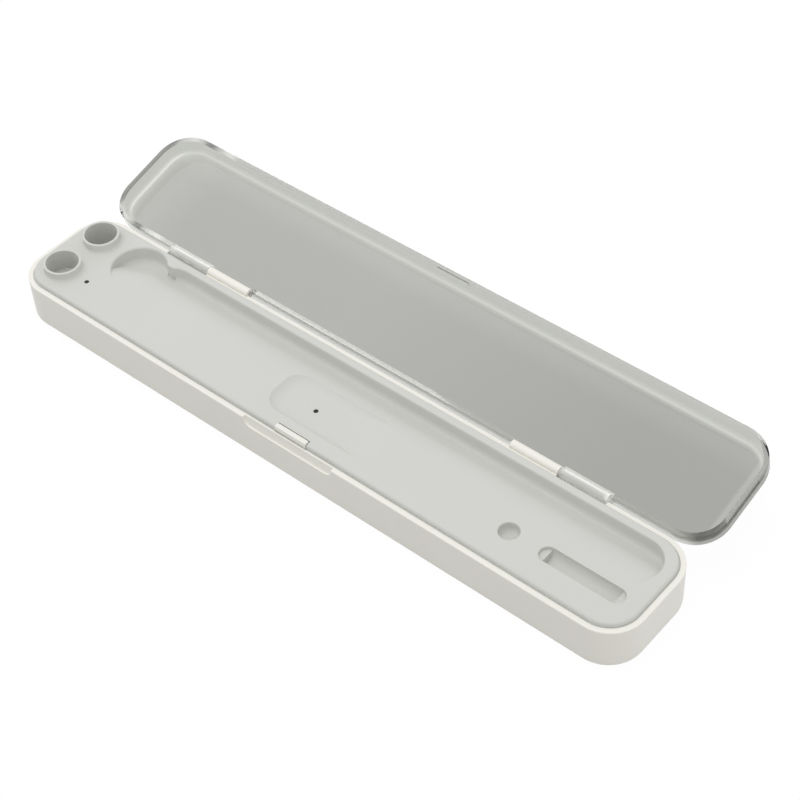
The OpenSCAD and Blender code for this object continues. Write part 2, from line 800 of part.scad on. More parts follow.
module lamp_cuts(x, y, under) {
  translate([x, y, under]) {
    cylinder(d = window_d + 2 * turn_clear, h = tray_t + past);
    translate([0, 0, -join]) cylinder(d = window_flange_d + 2 * turn_clear, h = window_flange_t + join);
  }
  for (side = [-1, 1])
    translate([x + lamp_screw_in, y + side * lamp_screw_y, under - lamp_h - join])
      cylinder(d = lamp_screw_d + 2 * held_clear, h = lamp_h + join + lamp_screw_bite + blend_step);
}

module tray_posts() {
  for (spot = post_spots)
    translate([spot.x, spot.y, post_z]) cylinder(d = tray_post_d, h = tray_under - post_z + join);
}

module inner_tray() {
  color("#d9d9d4") difference() {
    union() {
      difference() {
        translate([0, 0, tray_edge_z]) {
          rounded_slab(tray_l, tray_w, tray_r, tray_edge_h, high_r = tray_edge_r);
          linear_extrude(skirt_h)
            rounded_rect(tray_l + 2 * skirt_out, tray_w + 2 * skirt_out, tray_r + skirt_out);
        }
        translate([0, 0, tray_edge_z - past]) linear_extrude(tray_edge_h - tray_t + past)
          rounded_rect(tray_l - 2 * tray_t, tray_w - 2 * tray_t, tray_r - tray_t);
      }
      intersection() {
        union() {
          intersection() {
            union() {
              trough(tray_t);
              pocket_bridge(tray_t);
              pocket(tray_t);
            }
            above_trough_floor(ramp_under_t);
          }
          intersection() {
            pocket(tray_t);
            above_pocket_floor(ramp_under_t);
          }
          scoop(tray_t);
          round_hole(tray_t);
          slot(tray_t);
        }
        linear_extrude(tray_top - tray_t / 2) square([tray_l - tray_t, tray_w - tray_t], center = true);
      }
      for (cup = cups) translate([cup_x, cup[0], 0]) cup_outside(cup[1]);
      tray_posts();
      lamp_posts(head_lamp_x, head_lamp_y, tray_under);
      lamp_posts(middle_lamp_x, middle_lamp_y, scoop_under);
    }
    intersection() {
      union() {
        trough(0);
        trough_lip();
        pocket_bridge(0);
        pocket(0);
      }
      above_trough_floor(0);
    }
    intersection() {
      union() {
        pocket(0);
        translate([pocket_x, pocket_y, 0]) upright_lip(pocket_d / 2, pocket_lip_r);
      }
      above_pocket_floor(0);
    }
    scoop(0);
    round_hole(0);
    slot(0);
    slot_lips();
    translate([hole_x, holder_y, 0]) upright_lip(hole_d / 2, hole_lip_r);
    for (cup = cups) translate([cup_x, cup[0], cup_top - cup[1]]) cylinder(r = cup_r, h = cup[1] + past);
    lamp_cuts(head_lamp_x, head_lamp_y, tray_under);
    lamp_cuts(middle_lamp_x, middle_lamp_y, scoop_under);
    for (spot = post_spots) translate([spot.x, spot.y, post_z - past])
      cylinder(r = screw_r + held_clear, h = screw_seat_z + tray_screw_l + end_room - post_z + past);
    box(
      [-latch_l / 2 - latch_gap, front_y, tray_edge_z - past],
      [latch_l / 2 + latch_gap, latch_notch_back, tray_top + past]
    );
  }
}

// Lid, drawn closed and then turned about the hinge
function stop_face(z) = (hinge_back - stop_gap + sin(180 - lid_open) * z) / cos(180 - lid_open);

module lid_knuckle() {
  web_in = hinge_back + join;
  web_points = [[-web_in, 0], [-web_in, stop_h], [stop_face(stop_h), stop_h], [stop_face(0), 0]];
  x_rod(knuckle_r, lid_knuckle_start, lid_knuckle_end);
  along_x(lid_knuckle_start, lid_knuckle_end) polygon(web_points);
}

module base_knuckle_notch() {
  box(
    [hinge_in_x - knuckle_clear, -hinge_back - lid_wall_t - join, -past],
    [lid_knuckle_start, knuckle_r, knuckle_r + knuckle_clear]
  );
}

module lid_closed() {
  difference() {
    union() {
      difference() {
        translate([0, 0, base_h + lid_seat_gap]) difference() {
          rounded_slab(case_l, case_w, corner_r, lid_h, low_r = rim_r, high_r = lid_top_r);
          translate([0, 0, -past]) rounded_slab(
            case_l - 2 * lid_wall_t, case_w - 2 * lid_wall_t, corner_r - lid_wall_t,
            lid_h - lid_top_t + past, high_r = lid_inner_r
          );
        }
        each_hinge() base_knuckle_notch();
      }
      each_hinge() lid_knuckle();
    }
    each_hinge() x_rod(pin_r + turn_clear, lid_knuckle_start - past, lid_knuckle_end - pin_cap);
    box(
      [-latch_l / 2 - latch_gap, front_y + lid_wall_t - catch_d, nub_z - catch_h / 2],
      [latch_l / 2 + latch_gap, front_y + lid_wall_t + join, nub_z + catch_h / 2]
    );
  }
}

module lid() {
  color("#b5b6b1") translate([0, axis_y, axis_z]) rotate([-lid_open, 0, 0])
    translate([0, -axis_y, -axis_z]) lid_closed();
}

module hinge_pin() {
  color("#c4c5c7") translate([0, axis_y, axis_z])
    x_rod(pin_r, hinge_in_x + end_room, lid_knuckle_end - pin_cap - end_room);
}

module hinge_pin_right() {
  hinge_pin();
}

module hinge_pin_left() {
  mirror([1, 0, 0]) hinge_pin();
}

// Latch tab and the switch behind it
module latch_tab() {
  color("#efeee7") {
    box([-latch_l / 2, latch_front, latch_seat_z], [latch_l / 2, latch_back, latch_top]);
    box([-latch_full_l / 2, latch_front, latch_seat_z], [latch_full_l / 2, latch_back, latch_shoulder_z]);
    box([-latch_l / 2, nub_front, nub_z - nub_h / 2], [latch_l / 2, latch_front + join, nub_z + nub_h / 2]);
  }
}

module y_rod(r, y0, y1) {
  translate([0, y0, plunger_z]) rotate([-90, 0, 0]) cylinder(r = r, h = y1 - y0);
}

module interlock_switch() {
  color("#3a3b3d") difference() {
    box([-switch_l / 2, switch_front, latch_seat_z], [switch_l / 2, switch_back, latch_seat_z + switch_h]);
    y_rod(plunger_d / 2 + turn_clear, switch_front - past, plunger_stop);
  }
}

module switch_plunger() {
  color("#d8d2c4") y_rod(plunger_d / 2, switch_front - plunger_out, switch_front + plunger_in);
}

module switch_leads() {
  z0 = switch_run_z;
  z1 = z0 + lead_t;
  x0 = switch_socket.x - lead_t / 2;
  x1 = x0 + lead_t;
  color("#8f2f2b") lead_strip(switch_lead_y, [
    [x0, socket_top], [x1, socket_top], [x1, z0], [switch_l / 2, z0], [switch_l / 2, z1], [x0, z1]
  ]);
}

// Main board and what sits on it
module main_board() {
  color("#2f6b45") difference() {
    box([board_x0, -board_w / 2, board_z], [board_x1, board_w / 2, board_top]);
    for (x = board_screw_x, y = board_screw_y)
      translate([x, y, board_z - past]) cylinder(r = screw_r + turn_clear, h = board_t + 2 * past);
  }
}

module usb_socket() {
  tongue_l = usb_l * 0.6;
  tongue = [usb_w * 0.72, usb_h * 0.2];
  color("#b9bbbd") translate([usb_x0, 0, usb_z]) rotate([90, 0, 90]) {
    difference() {
      linear_extrude(usb_l) usb_outline(0);
      translate([0, 0, -past]) linear_extrude(usb_l - usb_wall_t * 2 + past) usb_outline(-usb_wall_t);
    }
    translate([0, 0, usb_l - tongue_l]) linear_extrude(tongue_l - join) square(tongue, center = true);
  }
}

module on_board(spot, side, h) {
  translate([spot.x - side / 2, spot.y - side / 2, board_top]) cube([side, side, h]);
}

module control_chip() {
  color("#2b2c2e") on_board(chip_spot, chip_side, chip_h);
}

module power_coil() {
  color("#4a4644") on_board(coil_spot, coil_side, coil_h);
}

module lead_sockets() {
  color("#e3ddcc") for (spot = [head_socket, middle_socket, switch_socket, battery_socket])
    on_board(spot, socket_side, socket_h);
}

module board_screws() {
  color("#9a9c9e") for (x = board_screw_x, y = board_screw_y)
    translate([x, y, board_top]) rotate([180, 0, 0])
      screw(screw_r, board_screw_l, screw_head_d / 2, screw_head_h);
}

// Battery
module battery_cell() {
  color("#c3c7cc") box(
    [battery_x0, battery_y - battery_w / 2, battery_z],
    [battery_x0 + battery_l, battery_y + battery_w / 2, battery_z + battery_t]
  );
}

module battery_pad() {
  inset = 2;
  color("#4c4f52") box(
    [battery_x0 + inset, battery_y - battery_w / 2 + inset, floor_t],
    [battery_x0 + battery_l - inset, battery_y + battery_w / 2 - inset, battery_z]
  );
}

module battery_leads() {
  z0 = battery_run_z;
  z1 = z0 + lead_t;
  x0 = battery_socket.x + socket_side / 2;
  color("#8f2f2b") lead_strip(battery_socket.y, [[x0, z0], [battery_x0, z0], [battery_x0, z1], [x0, z1]]);
}

// Lamps under the tray
module lamp_board(x, y, z) {
  x0 = x - lamp_board_left;
  color("#2f6b45") difference() {
    box([x0, y - lamp_board_w / 2, z], [x0 + lamp_board_l, y + lamp_board_w / 2, z + lamp_board_t]);
    for (side = [-1, 1])
      translate([x + lamp_screw_in, y + side * lamp_screw_y, z - past])
        cylinder(r = lamp_screw_d / 2 + turn_clear, h = lamp_board_t + 2 * past);
  }
}

module lamp_board_head() {
  lamp_board(head_lamp_x, head_lamp_y, head_board_z);
}

module lamp_board_middle() {
  lamp_board(middle_lamp_x, middle_lamp_y, middle_board_z);
}

module uvc_lamp(x, y, z) {
  half = lamp_side / 2;
  color("#d9d6cc") box([x - half, y - half, z], [x + half, y + half, z + lamp_h]);
}

module uvc_lamp_head() {
  uvc_lamp(head_lamp_x, head_lamp_y, head_board_z + lamp_board_t);
}

module uvc_lamp_middle() {
  uvc_lamp(middle_lamp_x, middle_lamp_y, middle_board_z + lamp_board_t);
}

module lamp_window(x, y, under) {
  color("#1d1e1f") translate([x, y, under]) {
    cylinder(d = window_flange_d, h = window_flange_t);
    cylinder(d = window_d, h = tray_t - window_set_back);
  }
}

module lamp_window_head() {
  lamp_window(head_lamp_x, head_lamp_y, tray_under);
}

module lamp_window_middle() {
  lamp_window(middle_lamp_x, middle_lamp_y, scoop_under);
}

module lamp_leads_head() {
  x0 = head_lead_x - lead_t / 2;
  x1 = x0 + lead_t;
  color("#8f2f2b") lead_strip(head_lamp_y, [
    [x0, socket_top], [x1, socket_top], [x1, head_board_z], [x0, head_board_z]
  ]);
}

module lamp_leads_middle() {
  z0 = middle_run_z;
  z1 = z0 + lead_t;
  x0 = middle_socket.x - lead_t / 2;
  x1 = x0 + lead_t;
  x2 = middle_lead_x - lead_t / 2;
  x3 = x2 + lead_t;
  color("#8f2f2b") lead_strip(middle_lamp_y, [
    [x0, socket_top], [x1, socket_top], [x1, z0], [x3, z0],
    [x3, middle_board_z], [x2, middle_board_z], [x2, z1], [x0, z1]
  ]);
}

module lamp_screws() {
  lamps = [[head_lamp_x, head_lamp_y, head_board_z], [middle_lamp_x, middle_lamp_y, middle_board_z]];
  color("#9a9c9e") for (lamp = lamps, side = [-1, 1])
    translate([lamp.x + lamp_screw_in, lamp.y + side * lamp_screw_y, lamp.z])
      screw(lamp_screw_d / 2, lamp_screw_l, lamp_screw_head_d / 2, lamp_screw_head_h);
}

module tray_screws() {
  color("#9a9c9e") for (spot = post_spots)
    translate([spot.x, spot.y, screw_seat_z])
      screw(screw_r, tray_screw_l, screw_head_d / 2, screw_head_h);
}

base_shell();
inner_tray();
lid();
hinge_pin_left();
hinge_pin_right();
latch_tab();
interlock_switch();
switch_plunger();
switch_leads();
main_board();
usb_socket();
control_chip();
power_coil();
lead_sockets();
board_screws();
battery_cell();
battery_pad();
battery_leads();
lamp_board_head();
lamp_board_middle();
uvc_lamp_head();
uvc_lamp_middle();
lamp_window_head();
lamp_window_middle();
lamp_leads_head();
lamp_leads_middle();
lamp_screws();
tray_screws();
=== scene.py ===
"""Looks of a slim toothbrush sanitizer case: finishes for its solids, and a studio."""

import json
import math

import bpy
from bpy.props import FloatProperty, FloatVectorProperty, PointerProperty
from mathutils import Matrix, Vector


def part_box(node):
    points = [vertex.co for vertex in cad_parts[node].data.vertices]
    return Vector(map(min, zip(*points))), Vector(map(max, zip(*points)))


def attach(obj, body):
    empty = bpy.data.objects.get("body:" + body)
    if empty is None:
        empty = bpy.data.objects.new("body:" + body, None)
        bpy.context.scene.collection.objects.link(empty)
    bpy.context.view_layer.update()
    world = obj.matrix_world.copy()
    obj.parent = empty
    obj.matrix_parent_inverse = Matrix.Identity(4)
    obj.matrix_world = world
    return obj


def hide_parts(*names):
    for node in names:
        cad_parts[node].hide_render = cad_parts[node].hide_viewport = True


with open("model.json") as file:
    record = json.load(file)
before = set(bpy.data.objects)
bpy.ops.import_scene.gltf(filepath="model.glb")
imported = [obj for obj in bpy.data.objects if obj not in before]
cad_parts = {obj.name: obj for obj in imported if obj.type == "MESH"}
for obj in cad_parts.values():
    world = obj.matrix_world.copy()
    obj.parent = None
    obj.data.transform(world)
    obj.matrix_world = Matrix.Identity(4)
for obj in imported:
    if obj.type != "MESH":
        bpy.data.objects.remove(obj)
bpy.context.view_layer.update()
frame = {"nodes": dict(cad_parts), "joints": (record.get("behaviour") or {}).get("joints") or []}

bl_info = {
    "name": "Toothbrush sanitizer case",
    "version": (1, 0, 0),
    "blender": (4, 5, 0),
    "location": "View3D > Sidebar > Sanitizer",
    "description": "Finishes the case's solids, softens the latch tab and sets a studio",
    "category": "Object",
}

MM = 0.001
WHITE = (1, 1, 1, 1)

LID_HINGE = next(joint for joint in frame["joints"] if joint["name"] == "lid_hinge")
# The CAD model holds the lid open by the hinge's whole range, short of a half turn by this lean
LID_LEAN = math.radians(180 - LID_HINGE["range_deg"][1])
# Distance from the middle of the lid to its ends
LID_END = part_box("lid")[1].x

# Sizes of the patterns in the finishes, with the drawn lines far enough apart to show
CLOUD_SIZE = 22.22 * MM
DRAWN_LINE_GAP = MM / 6
COPPER_GRID = 25 * MM / 3

# Softening of the latch tab: points to merge, faces to join and edges to round
MERGE_GAP = 0.002 * MM
JOIN_ANGLE = math.radians(1)
ROUND_ANGLE = math.radians(40)
ROUND_STEPS = 3

# Floor: its width, how far it lies below the case, and how white it shows where it is seen
FLOOR_SIZE = 6
FLOOR_DROP = 0.05 * MM
FLOOR_PAPER = "#aeaeac"
FLOOR_GLOW = 1.07
FLOOR_GLOW_SHARE = 0.9

# Softboxes in metres: width and height, place, and the point that they face. The low one
# lights the tub's end and leaves the hollows of the tray in shade
SOFTBOXES = {
    "key": ((0.8, 0.8), (-0.36, 0, 1.36), (0, 0, 0)),
    "low": ((0.3, 0.03), (0.46, -0.05, 0.02), (0, -0.05, 0.02)),
}

# Camera: its place in metres, the directions to its right and up, and its sensor in mm
CAMERA_PLACE = (0.266028, -0.260211, 0.401523)
CAMERA_RIGHT = Vector((0.764558, 0.643140, -0.042681))
CAMERA_UP = Vector((-0.441948, 0.571281, 0.691607))
SENSOR_WIDTH = 36.0


def linear(hex_colour):
    """Linear RGBA of an sRGB hex colour."""
    parts = [int(hex_colour[i:i + 2], 16) / 255 for i in (1, 3, 5)]
    return [c / 12.92 if c <= 0.04045 else ((c + 0.055) / 1.055) ** 2.4 for c in parts] + [1.0]


def colour_property(name, description, hex_colour):
    """Colour setting that starts at an sRGB hex colour."""
    return FloatVectorProperty(
        name=name, description=description, subtype="COLOR", size=4,
        min=0.0, max=1.0, default=linear(hex_colour),
    )


class CaseColours(bpy.types.PropertyGroup):
    """Colours of the finishes."""

    tub: colour_property("Tub", "Satin white of the tub", "#f5f3eb")
    tray: colour_property("Tray", "Matte white of the tray", "#d3d4cf")
    lid: colour_property("Lid", "Smoky tint of the clear lid", "#b1b2ad")
    # The rim's colour is the base of its painted glints
    lid_rim: colour_property("Lid rim", "Paler rim of the lid", "#c6c7c3")
    knuckle: colour_property("Lid knuckles", "Cloudy white of the lid's thick knuckles", "#f4f4f0")
    latch: colour_property("Latch tab", "White of the latch tab", "#f0efe8")
    steel: colour_property("Steel", "Pins and screws", "#b9babc")
    board: colour_property("Boards", "Solder mask of the circuit boards", "#2d6b45")
    lead: colour_property("Leads", "Jacket of the leads", "#8c2b27")
    window: colour_property("Lamp windows", "Dark window in front of a lamp", "#0b0b0c")


class CaseSizes(bpy.types.PropertyGroup):
    """Sizes of the latch tab's edges and of the surface grain."""

    latch_edge: FloatProperty(
        name="Latch edge", description="Radius of the latch tab's edges",
        default=0.22 * MM, min=0.05 * MM, max=0.4 * MM, unit="LENGTH", precision=5,
    )
    tray_grain: FloatProperty(
        name="Tray grain",
        description="Size of the eroded grain on the tray, drawn coarse enough to show",
        default=0.7 * MM, min=0.1 * MM, max=3 * MM, unit="LENGTH", precision=5,
    )
    tub_grain: FloatProperty(
        name="Tub grain", description="Size of the faint unevenness of the tub",
        default=1.2 * MM, min=0.1 * MM, max=5 * MM, unit="LENGTH", precision=5,
    )


class StudioSettings(bpy.types.PropertyGroup):
    """Camera and light."""

    lens: FloatProperty(
        name="Focal length", description="Focal length of the camera on a 36 mm sensor",
        default=85.82, min=20, max=300, subtype="DISTANCE_CAMERA",
    )
    sky: FloatProperty(
        name="Sky", description="Strength of the even light from all round",
        default=0.76, min=0, max=2,
    )
    key: FloatProperty(
        name="Key softbox", description="Power of the large soft lamp high above the left end",
        default=4.9, min=0, max=200, unit="POWER",
    )
    low: FloatProperty(
        name="Low softbox", description="Power of the low lamp that faces the right end",
        default=0.13, min=0, max=10, unit="POWER",
    )


def add_node(tree, kind, inputs=None, **settings):
    """Adds a node, sets its properties, and sets or links its inputs."""
    node = tree.nodes.new(kind)
    for key, value in settings.items():
        setattr(node, key, value)
    for key, value in (inputs or {}).items():
        if isinstance(value, bpy.types.NodeSocket):
            tree.links.new(value, node.inputs[key])
        else:
            node.inputs[key].default_value = value
    return node


def new_material(name):
    """Empty node material."""
    material = bpy.data.materials.new(name)
    material.use_nodes = True
    material.node_tree.nodes.clear()
    return material


def finish_material(material, shader):
    """Links a shader to the material's output."""
    add_node(material.node_tree, "ShaderNodeOutputMaterial", {"Surface": shader.outputs[0]})
    return material


def shade(colour, share):
    """A colour made darker or lighter by a share of itself."""
    return [min(1.0, c * share) for c in colour[:3]] + [1.0]


def moulded_plastic(name, colour, grain, depth, roughness):
    """Opaque moulded piece: an even, faintly cloudy colour, and the mould's fine grain as bump."""
    material = new_material(name)
    tree = material.node_tree
    place = add_node(tree, "ShaderNodeTexCoord").outputs["Object"]
    cloud = add_node(
        tree, "ShaderNodeTexNoise", {"Vector": place, "Scale": 1 / CLOUD_SIZE, "Detail": 3.0},
    )
    tone = add_node(
        tree, "ShaderNodeMix",
        {"Factor": cloud.outputs["Fac"], "A": shade(colour, 0.98), "B": shade(colour, 1.02)},
        data_type="RGBA",
    )
    fine = add_node(
        tree, "ShaderNodeTexNoise", {"Vector": place, "Scale": 1 / grain, "Detail": 2.0},
    )
    rough = add_node(
        tree, "ShaderNodeMapRange",
        {"Value": fine.outputs["Fac"], "To Min": roughness - 0.05, "To Max": roughness + 0.05},
    )
    bump = add_node(
        tree, "ShaderNodeBump",
        {"Strength": 0.35, "Distance": depth, "Height": fine.outputs["Fac"]},
    )
    shader = add_node(
        tree, "ShaderNodeBsdfPrincipled",
        {
            "Base Color": tone.outputs[2], "Roughness": rough.outputs["Result"],
            "Normal": bump.outputs["Normal"], "IOR": 1.5,
        },
    )
    return finish_material(material, shader)


def lid_measures(tree):
    """Where a point of the lid lies from the middle of the hinge, and how its surface faces."""
    place = add_node(tree, "ShaderNodeTexCoord")
    normal = place.outputs["Normal"]
    from_hinge = add_node(
        tree, "ShaderNodeVectorMath",
        {0: place.outputs["Object"], 1: LID_HINGE["pos_m"]}, operation="SUBTRACT",
    ).outputs["Vector"]
    right = (1, 0, 0)
    out = (0, math.cos(LID_LEAN), math.sin(LID_LEAN))
    up = (0, -math.sin(LID_LEAN), math.cos(LID_LEAN))
    directions = {
        "along": (from_hinge, right), "out": (from_hinge, out), "up": (from_hinge, up),
        "facing": (normal, up), "sideways": (normal, right),
    }
    measures = {
        name: add_node(
            tree, "ShaderNodeVectorMath", {0: vector, 1: direction}, operation="DOT_PRODUCT",
        ).outputs["Value"]
        for name, (vector, direction) in directions.items()
    }
    # Distance from the middle towards either end, and how level the surface is either way up
    measures["span"] = add_node(
        tree, "ShaderNodeMath", {0: measures["along"]}, operation="ABSOLUTE",
    ).outputs[0]
    measures["level"] = add_node(
        tree, "ShaderNodeMath", {0: measures["facing"], 1: measures["facing"]},
        operation="MULTIPLY",
    ).outputs[0]
    return measures


def lid_zones(tree):
    """Shares that mark the zones of the lid where light and shade are painted, and the painted
    tone of its top.
    """
    # The measure that each goes by, from where to where, and its two values if not 0 and 1
    limits = {
        # Painted light and shade: a glow beside the left and far walls, shade that falls off to
        # the right, a highlight line beside the right wall, a highlight in the hollow edge, and a
        # dark outside at the right end
        "left_painted_glow": ("along", -LID_END + 2.5 * MM, -LID_END + 22.5 * MM, 0.14, 0.02),
        "painted_falloff": ("along", -20 * MM, 75 * MM, 1.0, 0.84),
        "far_painted_glow": ("out", 27 * MM, 33 * MM, 0.0, 0.08),
        "line_start": ("along", LID_END - 5.7 * MM, LID_END - 4.9 * MM, 0.0, 0.2),
        "line_stop": ("along", LID_END - 3.3 * MM, LID_END - 4.1 * MM),
        "level": ("level", 0.86, 0.96),
        "under_rim": ("up", -4 * MM, -5 * MM),
        "right_part": ("along", LID_END - 8.5 * MM, LID_END - 4.5 * MM),
        "rightward": ("sideways", 0.2, 0.5),
        "left_painted_highlight": ("sideways", 0.5, 0.62),
        "painted_highlight_start": ("facing", 0.5, 0.66),
        "painted_highlight_stop": ("facing", 0.92, 0.84),
        "rim": ("up", -0.7 * MM, -0.3 * MM),
        "length": ("along", -LID_END, LID_END),
        "knuckle_out": ("out", 2.6 * MM, 2.2 * MM),
        "knuckle_up": ("up", -2.8 * MM, -2.4 * MM),
        "knuckle_start": ("span", 65.6 * MM, 66.0 * MM),
        "knuckle_stop": ("span", 82.6 * MM, 82.2 * MM),
    }
    measures = lid_measures(tree)
    sockets = ("From Min", "From Max", "To Min", "To Max")
    zones = {
        name: add_node(
            tree, "ShaderNodeMapRange",
            {"Value": measures[measure], **dict(zip(sockets, values))},
        ).outputs["Result"]
        for name, (measure, *values) in limits.items()
    }
    # Those that several make together
    together = {
        "line": ("MULTIPLY", "line_start", "line_stop"),
        # The painted tone of the top: painted glows, painted shade to the right and a painted
        # highlight line
        "tone": ("ADD", "left_painted_glow", "painted_falloff", "far_painted_glow", "line"),
        "top": ("MULTIPLY", "level", "under_rim"),
        # The painted dark outside of the right end, and the painted highlight of the hollow edge
        "painted_dark_right_end": ("MULTIPLY", "right_part", "rightward"),
        "edge": ("MULTIPLY", "painted_highlight_start", "painted_highlight_stop"),
        "knuckles": (
            "MULTIPLY", "knuckle_out", "knuckle_up", "knuckle_start", "knuckle_stop",
        ),
    }
    for name, (operation, first, *others) in together.items():
        zones[name] = zones[first]
        for other in others:
            zones[name] = add_node(
                tree, "ShaderNodeMath", {0: zones[name], 1: zones[other]}, operation=operation,
            ).outputs[0]
    return zones


def painted_rim_glints(rim):
    """Shares of the lid's length, each with the rim's colour there, painted with dark and bright
    glints.
    """
    plain, bright, grey, dark = (shade(rim, share) for share in (0.9, 1.75, 0.5, 0.2))
    # Distances from the left end and from the right end, in mm
    from_left = (
        (0, grey), (1.5, dark), (2.3, dark), (3.5, plain), (7.5, bright), (10.5, plain),
        (12.5, dark), (15, dark), (17.5, plain), (22.5, bright), (26, plain),
    )
    from_right = ((7, plain), (4.5, grey), (0.7, grey), (0, dark))
    length = 2 * LID_END / MM
    return [
        *((at / length, colour) for at, colour in from_left),
        *((1 - at / length, colour) for at, colour in from_right),
    ]


def clear_plastic(name, tint, rim, knuckle):
    """Clear moulded piece: a smoky tint with painted shade that deepens it to the right, painted
    pale edges and painted glints.
    """
    material = new_material(name)
    tree = material.node_tree
    zones = lid_zones(tree)
    # Painted light: the top is painted palest beside its left and far walls, and along a painted
    # highlight line beside the right wall
    top = add_node(
        tree, "ShaderNodeVectorMath", {0: tint[:3], "Scale": zones["tone"]}, operation="SCALE",
    )
    # The hollow edge between wall and top is painted pale as a highlight, most of all at the left
    # end
    edge = add_node(
        tree, "ShaderNodeMix",
        {"Factor": zones["left_painted_highlight"], "A": shade(tint, 1.4), "B": shade(tint, 1.7)},
        data_type="RGBA",
    )
    # Painted dark and bright glints follow each other in the rim round the end corners
    glints = painted_rim_glints(rim)
    ramp = add_node(tree, "ShaderNodeValToRGB", {"Fac": zones["length"]})
    for _ in glints[2:]:
        ramp.color_ramp.elements.new(1.0)
    for stop, (position, glint) in zip(ramp.color_ramp.elements, glints):
        stop.position = position
        stop.color = glint
    # The walls are painted paler than the top, and each of these lies over what comes before it.
    # All layers but the knuckles' are painted light and shade
    layers = {
        "painted_dark_right_end": shade(tint, 0.62), "top": top.outputs["Vector"], "edge": edge.outputs[2],
        "rim": ramp.outputs["Color"], "knuckles": knuckle,
    }
    colour = shade(tint, 1.26)
    for zone, layer in layers.items():
        colour = add_node(
            tree, "ShaderNodeMix", {"Factor": zones[zone], "A": colour, "B": layer},
            data_type="RGBA",
        ).outputs[2]
    # The thick knuckles are cloudy, and the right end, painted dark, gets less coat and so
    # reflects less of the bright room
    clearness = add_node(
        tree, "ShaderNodeMapRange", {"Value": zones["knuckles"], "To Min": 1.0, "To Max": 0.5},
    )
    gloss = add_node(
        tree, "ShaderNodeMapRange", {"Value": zones["painted_dark_right_end"], "To Min": 1.0, "To Max": 0.2},
    )
    shader = add_node(
        tree, "ShaderNodeBsdfPrincipled",
        {
            "Base Color": colour, "Roughness": 0.02, "IOR": 1.05,
            "Transmission Weight": clearness.outputs["Result"],
            "Coat Weight": gloss.outputs["Result"], "Coat Roughness": 0.03, "Coat IOR": 1.5,
        },
    )
    return finish_material(material, shader)


def drawn_metal(name, colour, stretch, roughness):
    """Drawn or plated metal: fine lines along the draw, which show as streaks in the gloss."""
    material = new_material(name)
    tree = material.node_tree
    place = add_node(tree, "ShaderNodeTexCoord").outputs["Object"]
    stretched = add_node(tree, "ShaderNodeMapping", {"Vector": place, "Scale": stretch})
    lines = add_node(
        tree, "ShaderNodeTexNoise",
        {"Vector": stretched.outputs["Vector"], "Scale": 1 / DRAWN_LINE_GAP, "Detail": 3.0},
    )
    rough = add_node(
        tree, "ShaderNodeMapRange",
        {"Value": lines.outputs["Fac"], "To Min": roughness - 0.1, "To Max": roughness + 0.1},
    )
    shader = add_node(
        tree, "ShaderNodeBsdfPrincipled",
        {"Base Color": colour, "Metallic": 1.0, "Roughness": rough.outputs["Result"]},
    )
    return finish_material(material, shader)


def circuit_board(name, colour):
    """Board under solder mask: copper runs show through as paler lines on a grid."""
    material = new_material(name)
    tree = material.node_tree
    place = add_node(tree, "ShaderNodeTexCoord").outputs["Object"]
    runs = add_node(
        tree, "ShaderNodeTexBrick",
        {
            "Vector": place, "Scale": 1 / COPPER_GRID, "Mortar Size": 0.045, "Color1": colour,
            "Color2": shade(colour, 0.88), "Mortar": shade(colour, 1.5),
        },
        offset=0.37,
    )
    bump = add_node(
        tree, "ShaderNodeBump",
        {"Strength": 0.3, "Distance": 0.05 * MM, "Height": runs.outputs["Fac"]},
    )
    shader = add_node(
        tree, "ShaderNodeBsdfPrincipled",
        {
            "Base Color": runs.outputs["Color"], "Roughness": 0.32,
            "Normal": bump.outputs["Normal"],
        },
    )
    return finish_material(material, shader)


def dress(material, *nodes):
    """Gives CAD nodes a finish."""
    for name in nodes:
        mesh = frame["nodes"][name].data
        mesh.materials.clear()
        mesh.materials.append(material)


def soft_copy(node, edge, body, material):
    """Copy of a CAD node with soft edges, which stands for the node."""
    bpy.ops.object.select_all(action="DESELECT")
    piece = bpy.data.objects.new("soft_" + node, frame["nodes"][node].data.copy())
    bpy.context.scene.collection.objects.link(piece)
    piece.select_set(True)
    bpy.context.view_layer.objects.active = piece
    bpy.ops.object.mode_set(mode="EDIT")
    bpy.ops.mesh.select_all(action="SELECT")
    bpy.ops.mesh.remove_doubles(threshold=MERGE_GAP)
    bpy.ops.mesh.dissolve_limited(angle_limit=JOIN_ANGLE)
    bpy.ops.object.mode_set(mode="OBJECT")
    bevel = piece.modifiers.new("soft_edges", "BEVEL")
    bevel.width = edge
    bevel.segments = ROUND_STEPS
    bevel.limit_method = "ANGLE"
    bevel.angle_limit = ROUND_ANGLE
    bpy.ops.object.modifier_apply(modifier=bevel.name)
    bpy.ops.object.shade_smooth_by_angle(angle=ROUND_ANGLE)
    piece.data.materials.clear()
    piece.data.materials.append(material)
    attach(piece, body)
    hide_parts(node)


class CaseOperator(bpy.types.Operator):
    """Base of the case's operators."""

    bl_options = {"REGISTER", "UNDO"}


class SANITIZER_OT_tub(CaseOperator):
    """Finish the tub."""

    bl_idname = "sanitizer.tub"
    bl_label = "Tub"

    def execute(self, context):
        colours, sizes = context.scene.case_colours, context.scene.case_sizes
        # Satin ABS from a polished mould: a soft sheen, with hardly any grain to see
        satin_abs = moulded_plastic(
            "satin_white_abs", colours.tub, grain=sizes.tub_grain, depth=0.01 * MM, roughness=0.38,
        )
        dress(satin_abs, "base_shell")
        return {"FINISHED"}


